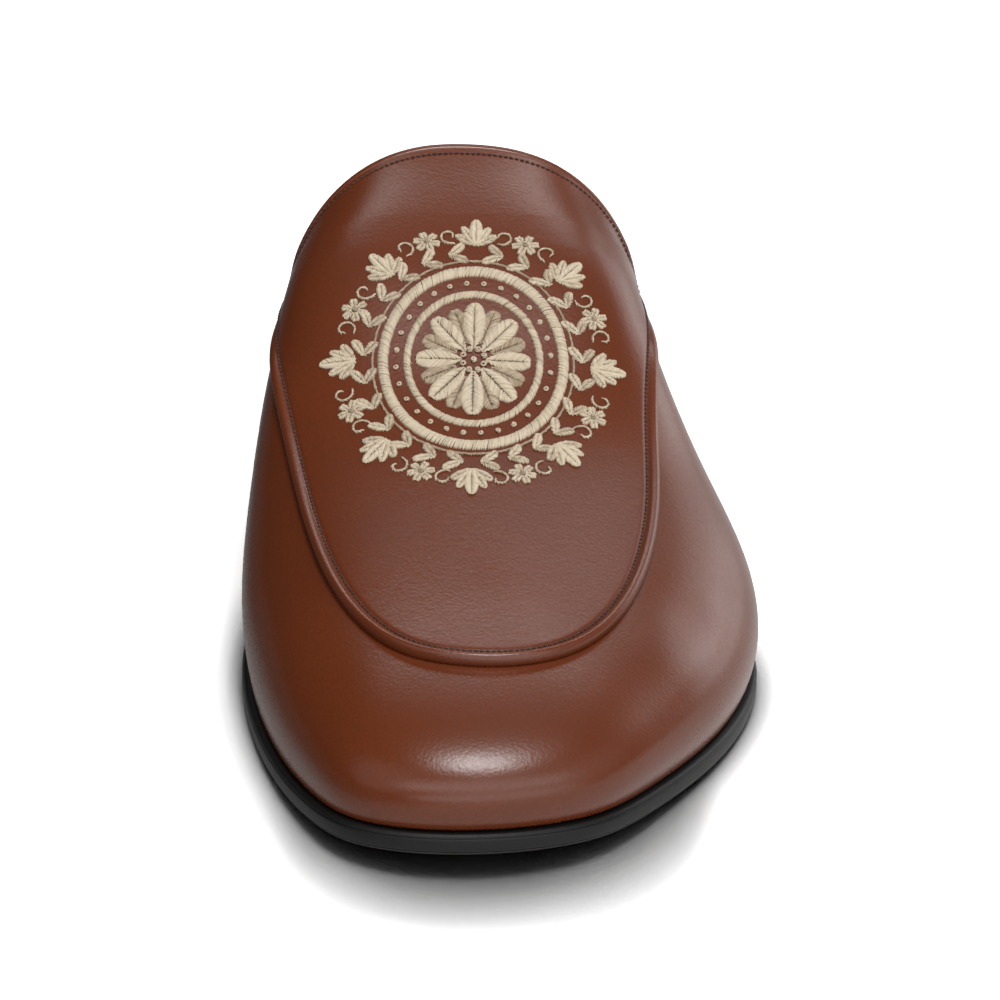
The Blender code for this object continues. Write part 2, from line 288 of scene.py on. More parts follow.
def smooth_curve(knots, values):
    """The natural cubic spline through the points, as a function of one number."""
    x = np.array(knots, float)
    y = np.array(values, float)
    step = np.diff(x)
    slope = np.diff(y) / step
    size = len(x)
    system = np.eye(size)
    target = np.zeros(size)
    for i in range(1, size - 1):
        system[i, i - 1 : i + 2] = step[i - 1], 2 * (step[i - 1] + step[i]), step[i]
        target[i] = 6 * (slope[i] - slope[i - 1])
    bend = np.linalg.solve(system, target)

    def at(place):
        i = int(np.clip(np.searchsorted(x, place) - 1, 0, size - 2))
        left, right = place - x[i], x[i + 1] - place
        cubic = (bend[i] * right**3 + bend[i + 1] * left**3) / (6 * step[i])
        return float(
            cubic
            + (y[i] / step[i] - bend[i] * step[i] / 6) * right
            + (y[i + 1] / step[i] - bend[i + 1] * step[i] / 6) * left
        )

    return at


def smoothstep(value):
    share = min(max(value, 0.0), 1.0)
    return share * share * (3 - 2 * share)


def spaced(start, end, steps):
    return [start + (end - start) * i / steps for i in range(steps + 1)]


def distance_of(turn):
    """Distance from the toe at a turn, which runs from 0 at the toe to 1 at the heel."""
    return sole_length * (1 - math.cos(math.pi * turn)) / 2


def turn_of(distance):
    return math.acos(1 - 2 * distance / sole_length) / math.pi


def outline_curve():
    """The outline's place across the shoe over signed turns, negative on the inner side."""
    loop = {}
    for station, inner, outer in SOLE_OUTLINE:
        turn = turn_of(station * sole_length)
        for signed, share in ((-turn, inner), (turn, outer)):
            for lap in (-2, 0, 2):
                loop[round(signed + lap, 6)] = share
    turns = sorted(turn for turn in loop if abs(turn) < 1.5)
    return smooth_curve(turns, [loop[turn] for turn in turns])


OUTLINE = outline_curve()
SECTION_CURVES = [
    smooth_curve([row[0] for row in SECTIONS], [row[column] for row in SECTIONS])
    for column in range(1, len(SECTIONS[0]))
]


def plan_point(turn):
    x = OUTLINE(turn) * ball_width / 2
    return Vector((x, -math.cos(math.pi * turn) * sole_length / 2))


def outline_point(signed_turn, inset=0.0):
    """A point of the sole's outline in plan, moved inwards by the inset."""
    along = plan_point(signed_turn + NUDGE) - plan_point(signed_turn - NUDGE)
    along.normalize()
    return plan_point(signed_turn) + Vector((-along.y, along.x)) * inset


def sole_underside(distance):
    """Height of the outsole's underside: toe spring, flat forefoot, the shank's rise, heel seat."""
    if distance < forefoot_flat_start:
        return toe_spring * (1 - distance / forefoot_flat_start) ** 2
    rise = (distance - forefoot_flat_end) / (heel_seat_start - forefoot_flat_end)
    return heel_rise * smoothstep(rise)


def feather_height(distance):
    """Height at which the upper and the insole start, just above the outsole."""
    return sole_underside(distance) + outsole_thickness + joint_gap


def toe_distance(point):
    return max(point.y + sole_length / 2, 0.0)


def ridge_distance(distance):
    """Where on the ridge a rib ends that starts this far from the toe: ribs fan out there."""
    if distance >= fan_end:
        return distance
    t = distance / fan_end
    return (
        (2 * t**3 - 3 * t**2 + 1) * fan_start
        + (t**3 - 2 * t**2 + t) * fan_start_slope * fan_end
        + (3 * t**2 - 2 * t**3) * fan_end
        + (t**3 - t**2) * fan_end
    )


def ridge_height(distance):
    return SECTION_CURVES[0](distance / sole_length) * instep_height


def ridge_point(distance):
    across = SECTION_CURVES[1](distance / sole_length) * ball_width / 2
    return Vector((across, distance - sole_length / 2, ridge_height(distance)))


@lru_cache(maxsize=None)
def rib(turn, side):
    """The control points of a rib, a cubic curve from the feather line up the side to the ridge."""
    foot_plan = outline_point(side * turn, upper_reveal)
    outward = (outline_point(side * turn) - outline_point(side * turn, 1.0)).normalized()
    foot = Vector((foot_plan.x, foot_plan.y, feather_height(toe_distance(foot_plan))))
    top_distance = ridge_distance(distance_of(turn))
    top = ridge_point(top_distance)
    share = top_distance / sole_length
    crown, sides, inner_swell, outer_swell = (curve(share) for curve in SECTION_CURVES[2:])
    parting = side * min(turn / swell_parting, 1.0) / 2
    swell = side_swell * (inner_swell * (0.5 - parting) + outer_swell * (0.5 + parting))
    height = top.z - foot.z
    ridge_rise = ridge_height(top_distance + NUDGE) - ridge_height(top_distance - NUDGE)
    shoulder = foot + Vector((outward.x * swell, outward.y * swell, sides * height))
    reach = (foot - top) * crown
    crown_point = top + Vector((reach.x, reach.y, reach.y * ridge_rise / (2 * NUDGE)))
    return foot, shoulder, crown_point, top


def rib_point(control, share):
    """A point of a rib, from 0 at the feather line to 1 at the ridge."""
    a, b, c, d = control
    rest = 1 - share
    return a * rest**3 + b * 3 * rest**2 * share + c * 3 * rest * share**2 + d * share**3


def lasted(turn, side, share):
    """A point of the upper's outer surface, as the solid has it."""
    return rib_point(rib(turn, side), share)


def surface_normal(turn, side, share):
    """The outward normal of the upper's outer surface, one for both sides on the ridge."""
    if share > 1 - NUDGE:
        both = [surface_normal(turn, each, 1 - 2 * NUDGE) for each in (INNER, OUTER)]
        return (both[0] + both[1]).normalized()
    lower, higher = max(share - NUDGE, 0.0), min(share + NUDGE, 1.0)
    here = rib(turn, side)
    up = rib_point(here, higher) - rib_point(here, lower)
    if turn < NUDGE:
        along = lasted(NUDGE, OUTER, share) - lasted(NUDGE, INNER, share)
    else:
        along = (lasted(turn + NUDGE, side, share) - lasted(turn - NUDGE, side, share)) * side
    return along.cross(up).normalized()


def topline_height(distance):
    """Side view of the quarter's edge, which sweeps down from the ear to the sole."""
    end_height = feather_height(quarter_reach) - upper_wall
    left = max(0.0, 1 - (distance - ear_reach) / (quarter_reach - ear_reach))
    return end_height + (ear_height - end_height) * left**topline_sweep


def arch_height(distance):
    """Side view of the tongue's edge, a straight line from the ear to the top of the tongue."""
    lean = (ridge_height(tongue_reach) - ear_height) / (tongue_reach - ear_reach)
    return ear_height + (distance - ear_reach) * lean


def apron_end_reach():
    """How far from the toe the apron's sides end, on the edge of the tongue."""
    share = (apron_end_height - ear_height) / (ridge_height(tongue_reach) - ear_height)
    return ear_reach + (tongue_reach - ear_reach) * share


@lru_cache(maxsize=None)
def walk_down(turn, side):
    """Arrays down a rib from the ridge: share of the rib, distance along the leather and height."""
    control = rib(turn, side)
    shares = spaced(1, 0, ARC_STEPS)
    points = [rib_point(control, share) for share in shares]
    arcs = [0.0]
    for before, point in zip(points, points[1:]):
        arcs.append(arcs[-1] + (point - before).length)
    return np.array(shares), np.array(arcs), np.array([point.z for point in points])


def arc_to_height(turn, side, height):
    """Distance along the leather from the ridge down to a height."""
    _, arcs, heights = walk_down(turn, side)
    return float(np.interp(-height, -heights, arcs))


def share_at_height(turn, side, height):
    shares, _, heights = walk_down(turn, side)
    return float(np.interp(-height, -heights, shares))


def share_at_arc(turn, side, arc):
    shares, arcs, _ = walk_down(turn, side)
    return float(np.interp(arc, arcs, shares))


def apron_edge_curve():
    """The apron's edge as a smooth curve over the way round from the toe to the tongue's edge."""
    rows = list(APRON_OUTLINE)
    for side in (INNER, OUTER):
        end_arc = arc_to_height(turn_of(apron_end_reach()), side, apron_end_height)
        rows.append((side, end_arc / (apron_width / 2)))
    rows.sort()
    return smooth_curve([row[0] for row in rows], [row[1] for row in rows])


APRON_CURVE = apron_edge_curve()
APRON_END = apron_end_reach()


def apron_arc(turn, side):
    """Distance along the leather from the ridge to the apron's edge."""
    distance = distance_of(turn)
    if distance < APRON_END:
        return apron_width / 2 * APRON_CURVE(side * turn / turn_of(APRON_END))
    if distance > tongue_reach - MERGE:
        return MERGE / 10
    return max(arc_to_height(turn, side, arch_height(distance)), MERGE / 10)


# Meshes


def grid_into(bm, columns, rows, place):
    """A grid whose points are placed by one value from the columns and one from the rows."""
    across, along = len(columns) - 1, len(rows) - 1
    made = bmesh.ops.create_grid(bm, x_segments=across, y_segments=along, size=0.5)
    for vert in made["verts"]:
        column = columns[round((vert.co.x + 0.5) * across)]
        row = rows[round((vert.co.y + 0.5) * along)]
        vert.co = place(column, row)


def linked(name, data):
    """A new object in the scene."""
    made = bpy.data.objects.new(name, data)
    bpy.context.scene.collection.objects.link(made)
    return made


def finished_piece(name, bm, materials, sharp_angle=math.radians(60)):
    """Merges coinciding points, turns the faces outwards and makes a smooth piece on the shoe."""
    bmesh.ops.remove_doubles(bm, verts=bm.verts, dist=2 * MERGE)
    bmesh.ops.dissolve_degenerate(bm, edges=bm.edges, dist=MERGE / 10)
    bmesh.ops.recalc_face_normals(bm, faces=bm.faces)
    mesh = bpy.data.meshes.new(name)
    bm.to_mesh(mesh)
    bm.free()
    for material in materials:
        mesh.materials.append(material)
    mesh.shade_smooth()
    mesh.set_sharp_from_angle(angle=sharp_angle)
    piece = linked(name, mesh)
    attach(piece, "root")
    return piece


def signed(turns):
    """Signed turns from the inner end round the toe to the outer end."""
    return [-turn for turn in reversed(turns)] + list(turns[1:])


def parted(signed_turn):
    return abs(signed_turn), INNER if signed_turn < 0 else OUTER


def dent_depth(point):
    """Depth of the soft hollows in the vamp under the lasted surface."""
    depth = 0.0
    for place, radius, most in VAMP_DENTS:
        depth += most * math.exp(-((point - Vector(place)).length_squared) / (2 * radius**2))
    return depth


def ear_flare(point):
    """How far the quarter stands off just below the ear, where nothing holds it in."""
    reach = (toe_distance(point) - ear_flare_reach) / ear_flare_length
    rise = (point.z - ear_flare_height) / ear_flare_rise
    return ear_flare_depth * math.exp(-(reach**2) - rise**2)


def upper_skin(turn, side, share):
    """A point of the visible upper: the lasted surface with its hollows and its flared ears."""
    point = lasted(turn, side, share)
    off = ear_flare(point) - dent_depth(point)
    return point + surface_normal(turn, side, share) * off


def make_upper(leather, lining):
    """One skin in two grids: the sides up to the ear's level, and the top with the arch."""
    ear_turn = turn_of(ear_reach)
    split = {side: share_at_height(ear_turn, side, ear_height) for side in (INNER, OUTER)}
    front = spaced(0, ear_turn, FRONT_STEPS)
    back = spaced(ear_turn, turn_of(quarter_reach), BACK_STEPS)[1:]
    tongue = [turn_of(d) for d in arch_distances(ear_reach)][1:]

    def parting(turn, side, edge_height):
        """The share of a rib where the sides end and the top starts, or the edge behind the ear."""
        if turn > ear_turn:
            return share_at_height(turn, side, edge_height(distance_of(turn)))
        blend = smoothstep(turn / swell_parting)
        return blend * split[side] + (1 - blend) * (split[INNER] + split[OUTER]) / 2

    def low(signed_turn, level):
        turn, side = parted(signed_turn)
        return upper_skin(turn, side, parting(turn, side, topline_height) * level)

    def high(signed_turn, level):
        turn, side = parted(signed_turn)
        start = parting(turn, side, arch_height)
        return upper_skin(turn, side, start + (1 - start) * level)

    bm = bmesh.new()
    grid_into(bm, signed(front + back), spaced(0, 1, SIDE_ROWS), low)
    grid_into(bm, signed(front + tongue), spaced(0, 1, TOP_ROWS), high)
    upper = finished_piece("upper_leather", bm, (leather, lining))
    wall = upper.modifiers.new("wall", "SOLIDIFY")
    wall.thickness = upper_wall
    wall.offset = -1
    wall.use_even_offset = True
    wall.material_offset = 1
    wall.material_offset_rim = 0
    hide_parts("upper")
    return upper


def arch_distances(start):
    """Distances from the toe along the tongue's arch, close together towards its top."""
    quarter_circle = [math.sin(math.pi / 2 * share) for share in spaced(0, 1, ARCH_STEPS)]
    return [start + (tongue_reach - start) * share for share in quarter_circle]


def thinning(turn, inwards):
    """How much thinner the apron is skived along its sides, towards its ends on the arch."""
    before_end = APRON_END - distance_of(turn)
    taper = apron_end_taper if before_end > 0 else apron_end_taper / 4
    ends = smoothstep(1 - abs(before_end) / taper)
    return (1 - apron_end_thinness) * ends * smoothstep(1 - inwards / apron_end_taper_width)


def make_apron(leather):
    """The stitched panel: flat leather to the seam, a raised roll round its front and sides."""
    turns = spaced(0, turn_of(ear_reach), FRONT_STEPS)
    turns += [turn_of(d) for d in arch_distances(APRON_END)]
    flat = [("flat", share) for share in spaced(0, 1, APRON_ROWS)[:-1]]
    edge = [("edge", row) for row in APRON_EDGE]
    edge_inset = APRON_EDGE[0][0] / 1000

    def narrowing(arc):
        """How much the edge's section narrows where the apron is narrow itself."""
        return min(1.0, 0.6 * arc / edge_inset)

    def place(signed_turn, row):
        turn, side = parted(signed_turn)
        kind, value = row
        arc = apron_arc(turn, side)
        fade = smoothstep((APRON_END - distance_of(turn)) / apron_roll_fade)
        height = apron_top
        if kind == "flat":
            reach = (arc - edge_inset * narrowing(arc)) * value
        else:
            inwards, body, rise = value
            reach = arc - inwards / 1000 * narrowing(arc)
            height = height * body + apron_roll_rise * rise * fade
        height *= 1 - thinning(turn, arc - reach)
        share = share_at_arc(turn, side, max(reach, 0.0))
        return lasted(turn, side, share) + surface_normal(turn, side, share) * height

    def underside(signed_turn, share_of_arc):
        turn, side = parted(signed_turn)
        arc = apron_arc(turn, side)
        reach = (arc - APRON_EDGE[-1][0] / 1000 * narrowing(arc)) * share_of_arc
        return lasted(turn, side, share_at_arc(turn, side, reach))

    bm = bmesh.new()
    grid_into(bm, signed(turns), flat + edge, place)
    grid_into(bm, signed(turns), spaced(0, 1, UNDERSIDE_ROWS), underside)
    apron = finished_piece("apron_leather", bm, (leather,), ROLL_SHARP)
    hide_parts("apron")
    return apron


def make_plate(name, material, profile, inset, base, dish, node):
    """A plate along the sole's outline, with its edge in section and a slightly dished top."""
    edge = [("edge", (inset / 1000, height / 1000)) for inset, height in profile]
    rows = [("below", share) for share in spaced(0, 1, 8)[:-1]] + edge
    rows += [("above", share) for share in spaced(1, 0, 10)[1:]]
    ends = {"below": edge[0][1], "above": edge[-1][1]}

    def place(signed_turn, row):
        turn, side = parted(signed_turn)
        kind, value = row
        more, up = value if kind == "edge" else ends[kind]
        rim = outline_point(side * turn, inset(turn) + more)
        middle = (outline_point(turn).x + outline_point(-turn).x) / 2
        share = 1.0 if kind == "edge" else value
        x = middle + (rim.x - middle) * share
        sunk = dish * (1 - share * share) if kind == "above" else 0.0
        return Vector((x, rim.y, base(toe_distance(rim)) + up - sunk))

    bm = bmesh.new()
    grid_into(bm, signed(spaced(0, 1, PLATE_STEPS)), rows, place)
    piece = finished_piece(name, bm, (material,))
    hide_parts(node)
    return piece


def insole_inset(turn):
    """The insole lies inside the upper's wall and widens behind it to the heel seat's edge."""
    inside_wall = upper_reveal + upper_wall + 2 * joint_gap
    start = quarter_reach + quarter_gap
    share = smoothstep((distance_of(turn) - start) / insole_widening)
    return inside_wall + (insole_heel_reveal - inside_wall) * share


def over_heel(turn):
    """The turn and side of a turn that runs on past 1, over the heel to the outer side."""
    return (2 - turn, OUTER) if turn > 1 else (turn, INNER)


def heel_loop():
    """Round the heel in plan: from the inner front corner to the outer one, then the breast."""
    start = turn_of(sole_length - heel_length)
    round_back = spaced(start, 2 - start, HEEL_STEPS)
    way = [("side", *over_heel(turn)) for turn in round_back]
    return way + [("breast", share, OUTER) for share in spaced(0, 1, BREAST_STEPS)[1:]]


def heel_plan(spot, inset):
    """A point of the heel's outline in plan; the breast between its corners is slightly hollow."""
    kind, value, side = spot
    if kind == "side":
        return outline_point(side * value, inset)
    start = turn_of(sole_length - heel_length)
    outer, inner = outline_point(start, inset), outline_point(-start, inset)
    plan = outer + (inner - outer) * value
    plan.y += heel_breast_hollow * 4 * value * (1 - value) + 0.4 * inset
    return plan


def close_holes(bm):
    """Merges coinciding points and fills every hole that is left."""
    bmesh.ops.remove_doubles(bm, verts=bm.verts, dist=2 * MERGE)
    bmesh.ops.holes_fill(bm, edges=[edge for edge in bm.edges if edge.is_boundary], sides=0)


def make_heel_block(name, material, levels, node):
    """A block round the heel's plan from levels of inset and height, closed below and above."""

    def place(spot, level):
        inset, height = level
        plan = heel_plan(spot, inset)
        return Vector((plan.x, plan.y, height(toe_distance(plan))))

    bm = bmesh.new()
    grid_into(bm, heel_loop(), levels, place)
    close_holes(bm)
    piece = finished_piece(name, bm, (material,), BLOCK_SHARP)
    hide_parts(node)


def make_heel(leather_edge, rubber):
    """The stack of leather lifts with fine grooves between them, and the rubber lift under it."""
    bottom = top_lift_thickness + joint_gap
    steps = (HEEL_GROOVE_WIDTH, 0.3, 0.7, 1 - HEEL_GROOVE_WIDTH, 1.0)
    rows = [(lift + step) / HEEL_LIFTS for lift in range(HEEL_LIFTS) for step in steps]
    levels = []
    for up in [0.0] + rows:
        joint = round(up * HEEL_LIFTS)
        near = abs(up * HEEL_LIFTS - joint) < HEEL_GROOVE_WIDTH / 2
        groove = heel_groove if near and 0 < joint < HEEL_LIFTS else 0.0
        inset = heel_reveal + heel_taper * (1 - up) ** 1.3 + groove
        levels.append(
            (inset, lambda d, up=up: bottom + (sole_underside(d) - joint_gap - bottom) * up)
        )
    make_heel_block("heel_stack", leather_edge, levels, "heel")
    inset = heel_reveal + heel_taper
    levels = [
        (inset + share * lift_rounding, lambda d, up=up: up)
        for share, up in (
            (1.0, 0.0),
            (0.3, 0.3 * lift_rounding),
            (0.0, lift_rounding),
            (0.0, top_lift_thickness - 0.4 * lift_rounding),
            (0.4, top_lift_thickness),
        )
    ]
    make_heel_block("top_lift", rubber, levels, "heel_top_lift")


def edge_frame(spots):
    """Points and normals along an edge, whose spots are (turn, side, share of the rib)."""
    return [upper_skin(*spot) for spot in spots], [surface_normal(*spot) for spot in spots]


def points_out(spot, point, beyond):
    """Whether a direction across an edge leads away from the leather."""
    turn, side, share = spot
    return beyond.dot(point - lasted(turn - 5 * NUDGE, side, share)) > 0


def make_edge_cap(name, leather, spots, outer_height):
    """A folded strip of leather over the cut edge along the spots."""
    points, normals = edge_frame(spots)
    last = len(points) - 1
    middle = last // 2
    along = (points[middle + 1] - points[middle - 1]).normalized()
    beyond = along.cross(normals[middle])
    turned = 1 if points_out(spots[middle], points[middle], beyond) else -1

    def place(i, row):
        before, after = points[max(i - 1, 0)], points[min(i + 1, last)]
        beyond = (after - before).normalized().cross(normals[i]).normalized()
        kind, (out, over) = row
        top = outer_height(spots[i])
        level = top + over / 1000 if kind == "outer" else -upper_wall - over / 1000
        return points[i] + beyond * turned * out / 1000 + normals[i] * level

    profile = [("outer", row) for row in EDGE_CAP]
    profile += [("inner", row) for row in reversed(EDGE_CAP)]
    bm = bmesh.new()
    grid_into(bm, list(range(len(points))), profile + profile[:1], place)
    close_holes(bm)
    finished_piece(name, bm, (leather,), ROLL_SHARP)


def arch_spots(start=ear_reach):
    """Spots along the tongue's arch from the inner ear over the top to the outer ear."""
    distances = arch_distances(start)
    way = [(INNER, distance) for distance in distances]
    way += [(OUTER, distance) for distance in distances[-2::-1]]
    return [
        (turn_of(distance), side, share_at_height(turn_of(distance), side, arch_height(distance)))
        for side, distance in way
    ]


def topline_spots(side):
    """Spots along the quarter's edge from the ear down to the sole."""
    return [
        (turn, side, share_at_height(turn, side, topline_height(distance_of(turn))))
        for turn in spaced(turn_of(ear_reach), turn_of(quarter_reach), BACK_STEPS)
    ]


def make_edge_caps(leather):
    """The folded edges: one over the tongue's arch, one along the topline of each quarter."""

    def over_apron(spot):
        turn, side, share = spot
        height = lasted(turn, side, share).z
        cover = smoothstep((height - apron_end_height + apron_cover_blend) / apron_cover_blend)
        return apron_top * cover * (1 - thinning(turn, 0.0))

    make_edge_cap("tongue_edge", leather, arch_spots(), over_apron)
    for side, name in ((INNER, "inner_topline"), (OUTER, "outer_topline")):
        make_edge_cap(name, leather, topline_spots(side), lambda spot: 0.0)


# Threads


def threads(name, material, strands):
    """Threads as thin tubes: each strand is its points, its half thickness and its tone."""
    curve = bpy.data.curves.new(name, "CURVE")
    curve.dimensions = "3D"
    curve.bevel_depth = 1.0
    curve.bevel_resolution = THREAD_BEVEL
    curve.use_fill_caps = True
    for points, radius, _ in strands:
        spline = curve.splines.new("POLY")
        last = len(points) - 1
        spline.points.add(last)
        for i, point in enumerate(points):
            spline.points[i].co = (*point, 1.0)
            spline.points[i].radius = radius * (THREAD_END if i in (0, last) else 1.0)
    holder = linked(name, curve)
    bpy.context.view_layer.update()
    graph = bpy.context.evaluated_depsgraph_get()
    mesh = bpy.data.meshes.new_from_object(holder.evaluated_get(graph))
    bpy.data.objects.remove(holder)
    bpy.data.curves.remove(curve)
    bm = bmesh.new()
    bm.from_mesh(mesh)
    bpy.data.meshes.remove(mesh)
    tones = bm.verts.layers.float.new("tone")
    # Blender lists the tubes' end caps first, the last tube's foremost, then the tubes in order
    ring = 4 + 2 * THREAD_BEVEL
    counts = [(2 * ring, strand[2]) for strand in reversed(strands)]
    counts += [(len(strand[0]) * ring, strand[2]) for strand in strands]
    assert sum(count for count, _ in counts) == len(bm.verts)
    verts = iter(bm.verts)
    for count, tone in counts:
        for _ in range(count):
            next(verts)[tones] = tone
    finished_piece(name, bm, (material,), math.pi)


def along_path(points, pitch):
    """Places and directions at an even pitch along a path of points."""
    lengths = [0.0]
    for before, point in zip(points, points[1:]):
        lengths.append(lengths[-1] + (point - before).length)
    count = max(int(lengths[-1] / pitch), 1)
    table = np.array([tuple(point) for point in points])
    spots = []
    for i in range(count):
        middle = (i + 0.5) * lengths[-1] / count
        here, ahead, behind = (
            Vector([float(np.interp(place, lengths, table[:, axis])) for axis in range(3)])
            for place in (middle, middle + pitch / 4, middle - pitch / 4)
        )
        spots.append((here, (ahead - behind).normalized()))
    return spots


def seam(name, material, paths, piece, pitch=stitch_pitch, length=stitch_length):
    """A row of short stitches that dip into the leather at both ends, laid on a piece's surface."""
    rng = random.Random(name)
    tree = surface_tree(piece)
    strands = []
    for path in paths:
        for here, along in along_path(path, pitch):
            place, normal, _, _ = tree.find_nearest(here)
            across = normal.cross(along).normalized()
            lean = along + across * rng.uniform(-0.05, 0.11)
            lean.normalize()
            points = [
                place + (lean * length * step + normal * stitch_radius * lift)
                for step, lift in STITCH_SHAPE
            ]
            strands.append((points, stitch_radius * rng.uniform(0.92, 1.06), rng.random()))
    threads(name, material, strands)


def surface_tree(piece):
    """A search tree over a piece's final mesh."""
    graph = bpy.context.evaluated_depsgraph_get()
    bm = bmesh.new()
    bm.from_object(piece, graph)
    tree = BVHTree.FromBMesh(bm)
    bm.free()
    return tree


def apron_seam_path(inset):
    """Points round the apron on its surface, an inset in from its edge."""
    path = []
    for signed_turn in signed(spaced(0, turn_of(APRON_END), RIM_STEPS)):
        turn, side = parted(signed_turn)
        share = share_at_arc(turn, side, apron_arc(turn, side) - inset)
        normal = surface_normal(turn, side, share)
        path.append(lasted(turn, side, share) + normal * apron_top)
    return path


def inset_path(spots, inset, height):
    """The path of an edge, moved into the leather by an inset and off it by a height."""
    points, normals = edge_frame(spots)
    path = []
    for i in range(1, len(points) - 1):
        beyond = (points[i + 1] - points[i - 1]).normalized().cross(normals[i])
        if not points_out(spots[i], points[i], beyond):
            beyond = -beyond
        path.append(points[i] - beyond * inset + normals[i] * height)
    return path


def topline_seam_path(side):
    """The seam along a quarter's edge, from just behind the ear to a little above the sole."""
    return [
        point
        for point in inset_path(topline_spots(side), topline_seam_inset, 0.0)
        if toe_distance(point) > ear_reach + topline_seam_start and point.z > topline_seam_end
    ]


def insole_seam_path():
    """The seam round the bare part of the insole, from one side round the heel to the other."""
    path = []
    start = turn_of(quarter_reach - insole_seam_lead)
    for turn in spaced(start, 2 - start, RIM_STEPS):
        turn, side = over_heel(turn)
        plan = outline_point(side * turn, insole_inset(turn) + insole_seam_inset)
        height = feather_height(toe_distance(plan)) + insole_thickness
        path.append(Vector((plan.x, plan.y, height)))
    return path


def make_seams(thread, pale_thread, upper, apron, insole):
    """The stitches round the apron, under the arch, along the toplines and on the insole."""
    arch = inset_path(arch_spots(APRON_END), arch_seam_inset, apron_top)
    toplines = [topline_seam_path(side) for side in (INNER, OUTER)]
    seam("apron_seam", thread, [apron_seam_path(apron_seam_inset)], apron)
    seam("arch_seam", thread, [arch], apron)
    seam("topline_seams", thread, toplines, upper)
    seam(
        "insole_seam", pale_thread, [insole_seam_path()], insole,
        insole_stitch_pitch, insole_stitch_length,
    )


# The embroidered medallion


def medallion_field(tree):
    """Places and normals on the apron over the medallion's grid, walked in even steps."""
    axis = Vector((math.sin(medallion_turn), math.cos(medallion_turn), 0))
    across = Vector((math.cos(medallion_turn), -math.sin(medallion_turn), 0))

    def walk(start, heading, count):
        places = [start]
        for _ in range(count):
            place, normal, _, _ = tree.find_nearest(places[-1])
            ahead = (heading - normal * heading.dot(normal)).normalized()
            places.append(tree.find_nearest(place + ahead * field_step)[0])
        return places

    middle = ridge_point(medallion_reach) + Vector((medallion_across, 0, 0.002))
    middle = tree.find_nearest(middle)[0]
    up_steps = math.ceil(medallion_half_height / field_step) + 3
    side_steps = math.ceil(medallion_half_width / field_step) + 3
    spine = walk(middle, -axis, up_steps)[:0:-1] + walk(middle, axis, up_steps)
    places = np.array([
        [tuple(place) for place in
         walk(start, -across, side_steps)[:0:-1] + walk(start, across, side_steps)]
        for start in spine
    ])
    up, side = np.gradient(places, axis=(0, 1))
    normals = np.cross(side, up)
    normals /= np.linalg.norm(normals, axis=2, keepdims=True)
    return np.concatenate((places, normals), axis=2)


# An embroidery stitch: share of its length, height over the leather as a share of its lift
SATIN_SHAPE = ((0.0, -0.2), (0.14, 0.55), (0.5, 1.0), (0.86, 0.55), (1.0, -0.2))


